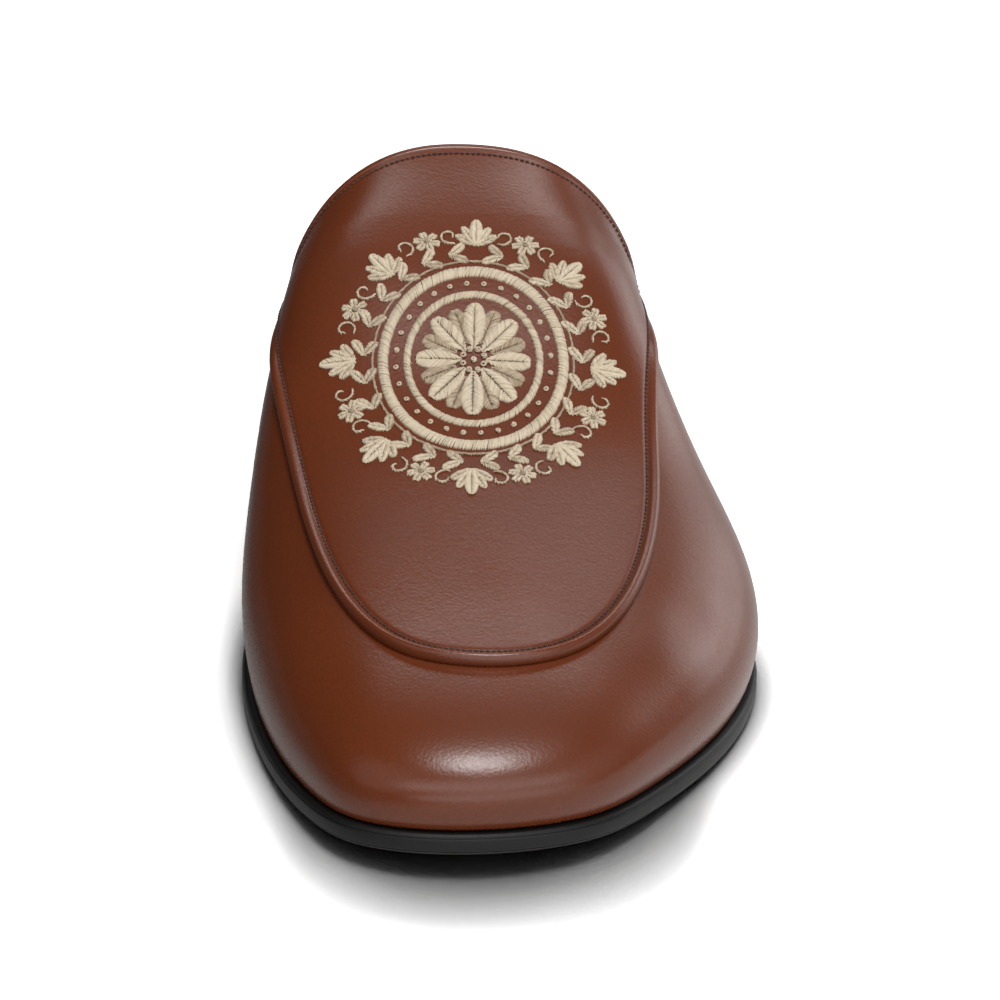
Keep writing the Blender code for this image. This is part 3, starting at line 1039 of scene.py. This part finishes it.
class Embroidery:
    """Collects the stitches of one piece of the medallion; places across and up are in metres."""

    def __init__(self, field, seed):
        self.field = field
        self.rng = random.Random(seed)
        self.strands = []

    def on(self, across, up, height):
        """The point over a place of the medallion's field, at a height off the leather."""
        rows, columns = self.field.shape[:2]
        row = min(max(up / field_step + (rows - 1) / 2, 0), rows - 1.001)
        column = min(max(across / field_step + (columns - 1) / 2, 0), columns - 1.001)
        i, j = int(row), int(column)
        y, x = row - i, column - j
        low = self.field[i, j] * (1 - x) + self.field[i, j + 1] * x
        high = self.field[i + 1, j] * (1 - x) + self.field[i + 1, j + 1] * x
        here = low * (1 - y) + high * y
        return Vector(here[:3] + here[3:] * height)

    def stitch(self, start, end, lift, tone, base=0.0):
        """One straight stitch that rises out of the leather and dips back into it."""
        stray = [self.rng.gauss(0, STRAY_MM) / 1000 for _ in range(4)]
        lift *= self.rng.uniform(0.88, 1.12)
        points = []
        for share, rise in SATIN_SHAPE:
            across = (start[0] + stray[0]) * (1 - share) + (end[0] + stray[1]) * share
            up = (start[1] + stray[2]) * (1 - share) + (end[1] + stray[3]) * share
            points.append(self.on(across, up, base + lift * rise))
        radius = thread_radius * self.rng.uniform(0.9, 1.12)
        self.strands.append((points, radius, min(max(tone + self.rng.gauss(0, STRAY_TONE), 0), 1)))

    def leaf(self, foot, tip, width, lift, tone, bend=0.0, base=0.0, blunt=0.62):
        """A leaf or petal in satin stitch: both halves slant from its mid-rib to its edge."""
        run = Vector((tip[0] - foot[0], tip[1] - foot[1]))
        length = run.length
        ahead = run.normalized()
        side = Vector((ahead.y, -ahead.x))
        count = max(int(length / (2.05 * thread_radius)), 3)
        for i in range(count):
            share = (i + 0.5) / count
            half = width / 2 * (4 * share * (1 - share)) ** blunt * (1.12 - 0.35 * share)
            rib_here = Vector(foot) + ahead * length * share
            rib_here += side * bend * 4 * share * (1 - share)
            for way in (-1, 1):
                edge = rib_here + side * way * half + ahead * min(half * 0.9, length * (1 - share))
                start = rib_here + side * way * 0.05 / 1000
                self.stitch(start, edge, lift * (0.55 + 0.45 * half / (width / 2)), tone, base)

    def ring(self, inner, outer, slant, lift, tone, breaks=0):
        """A band round the medallion in satin stitch, between two shares of its half sizes."""
        mean = (inner + outer) / 2 * (medallion_half_width + medallion_half_height) / 2
        count = int(2 * math.pi * mean / (2.0 * thread_radius))
        for i in range(count):
            angle = 2 * math.pi * i / count
            shade = tone - (0.3 if breaks and i % breaks == 0 else 0.0)
            self.stitch(oval(inner, angle - slant), oval(outer, angle + slant), lift, shade)

    def rope(self, path, lift, tone):
        """A line in stem stitch: short stitches that lie slanted over one another."""
        spots = along_path([Vector((*place, 0)) for place in path], ROPE_PITCH)
        for place, ahead in spots:
            side = Vector((ahead.y, -ahead.x, 0))
            half = ahead * 0.31 / 1000 * ROPE_OVERLAP + side * 0.14 / 1000
            self.stitch((place - half)[:2], (place + half)[:2], lift, tone)

    def knot(self, centre, size, lift, tone, base=0.0):
        """A thread wound round once and a third, for a raised dot."""
        points = []
        start = self.rng.uniform(0, 2 * math.pi)
        for i in range(11):
            angle = start + 2 * math.pi * 1.35 * i / 10
            reach = size * (1.0 - 0.45 * i / 10)
            height = base + lift * (0.15 + 0.85 * i / 10)
            across, up = centre[0] + reach * math.cos(angle), centre[1] + reach * math.sin(angle)
            points.append(self.on(across, up, height))
        self.strands.append((points, thread_radius * 1.25, tone))


def oval(share, angle):
    """A place on the medallion at a share of its half sizes, and an angle from its top."""
    return (
        medallion_half_width * share * math.sin(angle),
        medallion_half_height * share * math.cos(angle),
    )


def moved(place, angle, reach):
    """A place moved by a reach at an angle from up."""
    return place[0] + reach * math.sin(angle), place[1] + reach * math.cos(angle)


def course(start, end):
    """The angle from up of the way from one place to another."""
    return math.atan2(end[0] - start[0], end[1] - start[1])


def eighths(offset=0.0):
    return [math.pi / 4 * (i + offset) for i in range(8)]


SPRAY = (
    # turn from the spray's middle, length, width, tone, height of the foot
    (-0.95, 0.0052, 0.0022, 0.62, 0.0),
    (0.95, 0.0052, 0.0022, 0.62, 0.0),
    (-0.48, 0.0062, 0.0022, 0.78, 0.0),
    (0.48, 0.0062, 0.0022, 0.78, 0.0),
    (0.0, 0.0076, 0.0030, 0.92, 0.00015),
)


def embroider_rosette(work):
    """Eight petals over eight smaller ones, knots in the middle and a corded oval round them."""
    for angle in eighths(0.5):
        work.leaf(oval(0.12, angle), oval(0.365, angle), 0.0044, 0.00032, 0.25)
    for angle in eighths():
        work.leaf(oval(0.075, angle), oval(0.385, angle), 0.0052, 0.00048, 0.80, base=0.00012)
    for count, share, tone in ((8, 0.075, 0.55), (1, 0.0, 0.9)):
        for i in range(count):
            angle = 2 * math.pi * (i + 0.5) / count
            work.knot(oval(share, angle), 0.00058, 0.0006, tone, base=0.0002)
    work.ring(0.425, 0.475, 0.035, 0.00042, 0.72, breaks=7)


def embroider_frame(work):
    """The bold oval frame between a row of knots and a thin dark line."""
    for i in range(FRAME_KNOTS):
        angle = 2 * math.pi * (i + 0.5) / FRAME_KNOTS
        work.knot(oval(0.525, angle), 0.00050, 0.0005, 0.6)
    work.ring(0.575, 0.650, 0.022, 0.00055, 0.85)
    rim = [oval(0.683, 2 * math.pi * i / 120) for i in range(121)]
    work.rope(rim, 0.00028, 0.12)


def embroider_wreath(work):
    """A laurel wreath up both sides, a spray at every eighth and a flower between sprays."""
    for side in (INNER, OUTER):
        for i in range(12):
            angle = math.pi * (1 - (i + 0.3) / 12.3)
            foot = oval(0.745, side * angle)
            heading = course(foot, oval(0.745, side * (angle - 0.1)))
            for way, length, tone in ((-1, 0.0047, 0.75), (1, 0.0043, 0.45)):
                tip = moved(foot, heading + way * 0.62, length)
                work.leaf(foot, tip, 0.0021, 0.00036, tone, bend=-way * 0.00025)
    for angle in eighths():
        foot = oval(0.80, angle)
        heading = course(foot, oval(1.0, angle))
        for turn, length, width, tone, base in SPRAY:
            work.leaf(foot, moved(foot, heading + turn, length), width, 0.00042, tone, base=base)
    for angle in eighths(0.5):
        heart = oval(0.885, angle)
        for petal in range(6):
            heading = angle + 2 * math.pi * petal / 6
            foot = moved(heart, heading, 0.0004)
            work.leaf(foot, moved(heart, heading, 0.0028), 0.0017, 0.00034, 0.66, blunt=0.4)
        work.knot(heart, 0.00045, 0.0006, 0.15, base=0.0002)
        for way in (-1, 1):
            hub = moved(heart, angle + way * math.pi / 2, 0.0052)
            curl = [
                moved(hub, angle + way * (math.pi + step * 0.215), 0.0023 * (1 - step / 34))
                for step in range(24)
            ]
            work.rope(curl, 0.00030, 0.5)


def make_medallion(material, tree):
    """The apron's embroidery, in three pieces that lie on its leather."""
    field = medallion_field(tree)
    for seed, (name, embroider) in enumerate((
        ("medallion_rosette", embroider_rosette),
        ("medallion_frame", embroider_frame),
        ("medallion_wreath", embroider_wreath),
    )):
        work = Embroidery(field, seed)
        embroider(work)
        threads(name, material, work.strands)


# Materials


class Wiring:
    """Adds nodes to a tree and joins them, so that a material reads as a list of steps."""

    def __init__(self, tree):
        self.tree = tree

    def put(self, socket, value):
        if isinstance(value, bpy.types.NodeSocket):
            self.tree.links.new(value, socket)
        else:
            socket.default_value = value

    def add(self, kind, *ordered, operation=None, **named):
        """A node with its inputs set or linked, in their order or by name."""
        node = self.tree.nodes.new("ShaderNode" + kind)
        if operation:
            node.operation = operation
        for socket, value in zip(node.inputs, ordered):
            self.put(socket, value)
        self.fill(node, **named)
        return node

    def fill(self, node, **named):
        for name, value in named.items():
            self.put(node.inputs[name.replace("_", " ")], value)

    def place(self):
        return self.add("TexCoord").outputs["Object"]

    def noise(self, place, scale, detail):
        node = self.add("TexNoise", Vector=place, Scale=scale, Detail=detail)
        return node.outputs["Fac"]

    def maths(self, operation, *values):
        return self.add("Math", *values, operation=operation).outputs[0]

    def mix(self, share, first, second):
        node = self.tree.nodes.new("ShaderNodeMix")
        node.data_type = "RGBA"
        for index, value in ((0, share), (6, first), (7, second)):
            self.put(node.inputs[index], value)
        return node.outputs[2]

    def between(self, value, low, high, to_low=0.0, to_high=1.0):
        node = self.add("MapRange", value, low, high, to_low, to_high)
        node.interpolation_type = "SMOOTHSTEP"
        return node.outputs[0]


def leather_group():
    """Calf leather: two shades in soft clouds, pores and grain as relief, a gloss that varies."""
    group = bpy.data.node_groups.new("leather_finish", "ShaderNodeTree")
    for way, kind, *labels in (
        ("INPUT", "Color", "Colour", "Deep Colour"),
        ("INPUT", "Float", "Grain Scale", "Grain Depth", "Gloss"),
        ("OUTPUT", "Color", "Colour"),
        ("OUTPUT", "Float", "Roughness"),
        ("OUTPUT", "Vector", "Normal"),
    ):
        for label in labels:
            group.interface.new_socket(label, in_out=way, socket_type="NodeSocket" + kind)
    given = group.nodes.new("NodeGroupInput").outputs
    result = group.nodes.new("NodeGroupOutput")
    w = Wiring(group)
    place = w.place()
    speckle = w.noise(place, 1500.0, 2.0)
    cloud = w.between(w.noise(place, 18.0, 4.0), 0.36, 0.64)
    fleck = w.between(speckle, 0.3, 0.7)
    shade = w.maths("MULTIPLY_ADD", fleck, 0.5, w.maths("MULTIPLY", cloud, 0.45))
    cells = w.add("TexVoronoi", Vector=place, Scale=given["Grain Scale"])
    cells.feature = "SMOOTH_F1"
    fine, soft = w.noise(place, 2600.0, 2.0), w.noise(place, 230.0, 3.0)
    height = w.maths("MULTIPLY_ADD", fine, 0.45, cells.outputs["Distance"])
    height = w.maths("MULTIPLY_ADD", soft, 0.9, height)
    bump = w.add("Bump", Strength=1.0, Distance=given["Grain Depth"], Height=height)
    rough = w.maths("MULTIPLY_ADD", speckle, 0.10, given["Gloss"])
    w.fill(
        result,
        Colour=w.mix(shade, given["Colour"], given["Deep Colour"]),
        Normal=bump.outputs["Normal"],
        Roughness=w.maths("MULTIPLY_ADD", cloud, 0.05, rough),
    )
    return group


def new_material(name):
    """A material with its wiring and its shader."""
    material = bpy.data.materials.new(name)
    material.use_nodes = True
    tree = material.node_tree
    return material, Wiring(tree), tree.nodes["Principled BSDF"]


def leather_material(name, finish, colour, deep, gloss, grain_scale, grain_depth, specular):
    material, w, shader = new_material(name)
    skin = w.add("Group")
    skin.node_tree = finish
    w.fill(
        skin, Colour=(*colour, 1), Deep_Colour=(*deep, 1), Gloss=gloss,
        Grain_Scale=grain_scale, Grain_Depth=grain_depth,
    )
    w.fill(
        shader,
        Base_Color=skin.outputs["Colour"],
        Roughness=skin.outputs["Roughness"],
        Normal=skin.outputs["Normal"],
        Specular_IOR_Level=specular,
    )
    return material


def thread_material(name, light, dark, roughness, sheen):
    """Twisted thread: each strand has its own tone from its attribute, with a little noise."""
    material, w, shader = new_material(name)
    place = w.place()
    tone = w.add("Attribute")
    tone.attribute_name = "tone"
    share = w.maths("MULTIPLY_ADD", w.noise(place, 1400.0, 2.0), 0.5, tone.outputs["Fac"])
    twist = w.noise(place, 3500.0, 1.0)
    bump = w.add("Bump", Strength=0.6, Distance=0.00006, Height=twist)
    w.fill(
        shader,
        Base_Color=w.mix(w.between(share, 0.1, 1.3), (*dark, 1), (*light, 1)),
        Normal=bump.outputs["Normal"],
        Roughness=roughness,
        Sheen_Weight=sheen,
        Sheen_Roughness=0.4,
    )
    return material


def floor_material():
    """A white floor: overexposed where it is open, dark near the shoe, with painted shade in the
    light it throws back on its inner side.

    The shadow is occlusion that leans back towards the shoe and reaches further before the toe.
    """
    material, w, shown = new_material("studio_floor")
    spot = w.place()
    toe = w.add("VectorMath", spot, toe_shadow_centre, operation="DISTANCE")
    from_toe = toe.outputs["Value"], *toe_shadow_fade
    lean = w.add("CombineXYZ", Y=w.between(*from_toe, 1.2, 0.0), Z=1.0)
    towards = w.add("VectorMath", lean.outputs["Vector"], operation="NORMALIZE")
    reach = w.between(*from_toe, 0.028, 0.008)
    near = w.add("AmbientOcclusion", Normal=towards.outputs["Vector"], Distance=reach)
    near.samples = 3
    open_share = w.between(near.outputs["AO"], 0.50, 0.94)
    w.fill(
        shown,
        Base_Color=w.mix(open_share, (0.0, 0.0, 0.0, 1), (1.45, 1.45, 1.45, 1)),
        Roughness=0.9,
        Specular_IOR_Level=0.0,
    )
    # Painted shade: on its inner side the floor throws back far less light, a dark patch that
    # stands in for shade there
    inner = w.between(w.add("SeparateXYZ", spot).outputs["X"], -0.11, -0.01)
    thrown = w.add("BsdfDiffuse", w.mix(inner, (0.10, 0.10, 0.10, 1), (0.80, 0.79, 0.78, 1)))
    path = w.add("LightPath")
    both = w.add("MixShader", path.outputs["Is Camera Ray"], thrown.outputs[0], shown.outputs[0])
    w.fill(material.node_tree.nodes["Material Output"], Surface=both.outputs[0])
    return material


# Light, floor and camera

# The studio's soft boxes, as seen from the shoe; azimuth 0 is the front and 90 the outer side
SOFT_BOXES = (
    # azimuth, elevation, half width and half height in degrees, soft edge, strength
    (21, 81, 9, 9.5, 0.6, 20.0),
    (172, 47.5, 21, 4.5, 0.8, 5.0),
    (128, 27, 15, 11, 0.6, 2.2),
    (126, 8, 17, 13, 0.6, 2.1),
    (10, 10, 40, 14, 0.6, 1.8),
    (5, 42, 38, 14, 0.6, 2.0),
    (-60, 35, 26, 26, 0.6, 0.5),
    (62, 32, 26, 24, 0.6, 0.5),
)
room_light = 0.02

# Where the floor's shadow reaches furthest, and the distances over which its reach fades
toe_shadow_centre = (-0.004, -0.150, 0.0)
toe_shadow_fade = (0.016, 0.068)

# The photograph's camera, in its pixels where a length isn't in metres, and the crop of this shoe
camera_place = (-0.1028, -1.2336, 0.6455)
camera_turn = math.radians(2)
camera_tilt = math.radians(25)
photo_focal = 3965.0
photo_centre = 500.0
crop_centre = (684.0, 652.0)
crop_size = 620.0
sensor = 36.0


def direction(azimuth, elevation):
    a, e = math.radians(azimuth), math.radians(elevation)
    return Vector((math.sin(a) * math.cos(e), -math.cos(a) * math.cos(e), math.sin(e)))


def light_the_studio():
    """A room of soft boxes round the shoe; the camera sees the room as plain white."""
    world = bpy.data.worlds.new("studio")
    bpy.context.scene.world = world
    world.use_nodes = True
    w = Wiring(world.node_tree)
    ray = w.add("TexCoord").outputs["Generated"]

    def along(axis):
        return w.add("VectorMath", ray, tuple(axis), operation="DOT_PRODUCT").outputs["Value"]

    def off_axis(axis, ahead, half_angle):
        """How far the ray lies off a soft box's middle, as a share of the box's half size."""
        slope = w.maths("ABSOLUTE", w.maths("DIVIDE", along(axis), ahead))
        share = w.maths("DIVIDE", slope, math.tan(math.radians(half_angle)))
        return w.maths("POWER", share, 2.0)

    total = room_light
    for azimuth, elevation, half_width, half_height, soft, strength in SOFT_BOXES:
        forward = direction(azimuth, elevation)
        right = direction(azimuth + 90, 0)
        ahead = w.maths("MAXIMUM", along(forward), 0.001)
        wide = off_axis(right, ahead, half_width)
        high = off_axis(right.cross(forward), ahead, half_height)
        edge = w.maths("SQRT", w.maths("ADD", wide, high))
        inside = w.between(edge, 1.0 - soft / 2, 1.0 + soft / 2, strength, 0.0)
        total = w.maths("ADD", inside, total)
    shown = w.add("LightPath").outputs["Is Camera Ray"]
    lit = w.maths("MULTIPLY", total, w.maths("SUBTRACT", 1.0, shown))
    background = world.node_tree.nodes["Background"]
    w.fill(background, Color=(1, 1, 1, 1), Strength=w.maths("ADD", lit, shown))


def lay_the_floor():
    bm = bmesh.new()
    bmesh.ops.create_grid(bm, x_segments=1, y_segments=1, size=6.0)
    mesh = bpy.data.meshes.new("studio_floor")
    bm.to_mesh(mesh)
    bm.free()
    mesh.materials.append(floor_material())
    linked("studio_floor", mesh)


def place_the_camera():
    """The photograph's own viewpoint, aimed at this shoe alone with a longer lens."""

    def yawed(x, y, z):
        cos, sin = math.cos(camera_turn), math.sin(camera_turn)
        return Vector((x * cos + y * sin, -x * sin + y * cos, z))

    ahead = yawed(0, math.cos(camera_tilt), -math.sin(camera_tilt))
    up = yawed(0, math.sin(camera_tilt), math.cos(camera_tilt))
    right = yawed(1, 0, 0)
    aim = ahead + right * (crop_centre[0] - photo_centre) / photo_focal
    aim -= up * (crop_centre[1] - photo_centre) / photo_focal
    aim.normalize()
    right = (right - aim * right.dot(aim)).normalized()
    up = right.cross(aim)
    camera = bpy.data.cameras.new("camera")
    camera.sensor_width = sensor
    camera.lens = sensor * photo_focal / crop_size
    holder = linked("camera", camera)
    holder.location = camera_place
    holder.rotation_mode = "QUATERNION"
    holder.rotation_quaternion = Matrix((right, up, -aim)).transposed().to_quaternion()
    bpy.context.scene.camera = holder


# Assembly

place_the_camera()
light_the_studio()
lay_the_floor()
bpy.context.scene.view_settings.view_transform = "Standard"

LEATHERS = (
    # name, colour, deep colour, gloss, grain scale, grain depth, specular level
    ("brown_leather", (0.142, 0.0315, 0.0098), (0.108, 0.0235, 0.0068), 0.205, 1500.0, 2.2e-5, 0.5),
    ("lining_leather", (0.20, 0.075, 0.030), (0.15, 0.052, 0.020), 0.50, 900.0, 4e-5, 0.5),
    ("insole_leather", (0.17, 0.055, 0.021), (0.12, 0.036, 0.013), 0.42, 900.0, 4e-5, 0.5),
    ("black_edge", (0.0075, 0.007, 0.007), (0.004, 0.004, 0.004), 0.42, 700.0, 3e-5, 0.32),
    ("black_rubber", (0.011, 0.011, 0.011), (0.008, 0.008, 0.008), 0.65, 1500.0, 5e-5, 0.4),
)
THREADS = (
    # name, light colour, dark colour, roughness, sheen
    ("brown_thread", (0.060, 0.014, 0.006), (0.022, 0.006, 0.003), 0.55, 0.2),
    ("pale_thread", (0.24, 0.10, 0.045), (0.14, 0.05, 0.022), 0.55, 0.2),
    ("medallion_thread", (0.66, 0.56, 0.41), (0.30, 0.21, 0.125), 0.42, 0.4),
)
finish = leather_group()
brown_leather, lining, insole_leather, black_edge, black_rubber = (
    leather_material(name, finish, *values) for name, *values in LEATHERS
)
brown_thread, pale_thread, medallion_thread = (thread_material(*row) for row in THREADS)

upper = make_upper(brown_leather, lining)
apron = make_apron(brown_leather)
insole = make_plate(
    "insole_sock", insole_leather, INSOLE_EDGE, insole_inset, feather_height, insole_dish,
    "insole",
)
make_plate(
    "sole", black_edge, SOLE_EDGE, lambda turn: 0.0, sole_underside, 0.0, "outsole"
)
make_heel(black_edge, black_rubber)
make_edge_caps(brown_leather)
make_seams(brown_thread, pale_thread, upper, apron, insole)
make_medallion(medallion_thread, surface_tree(apron))
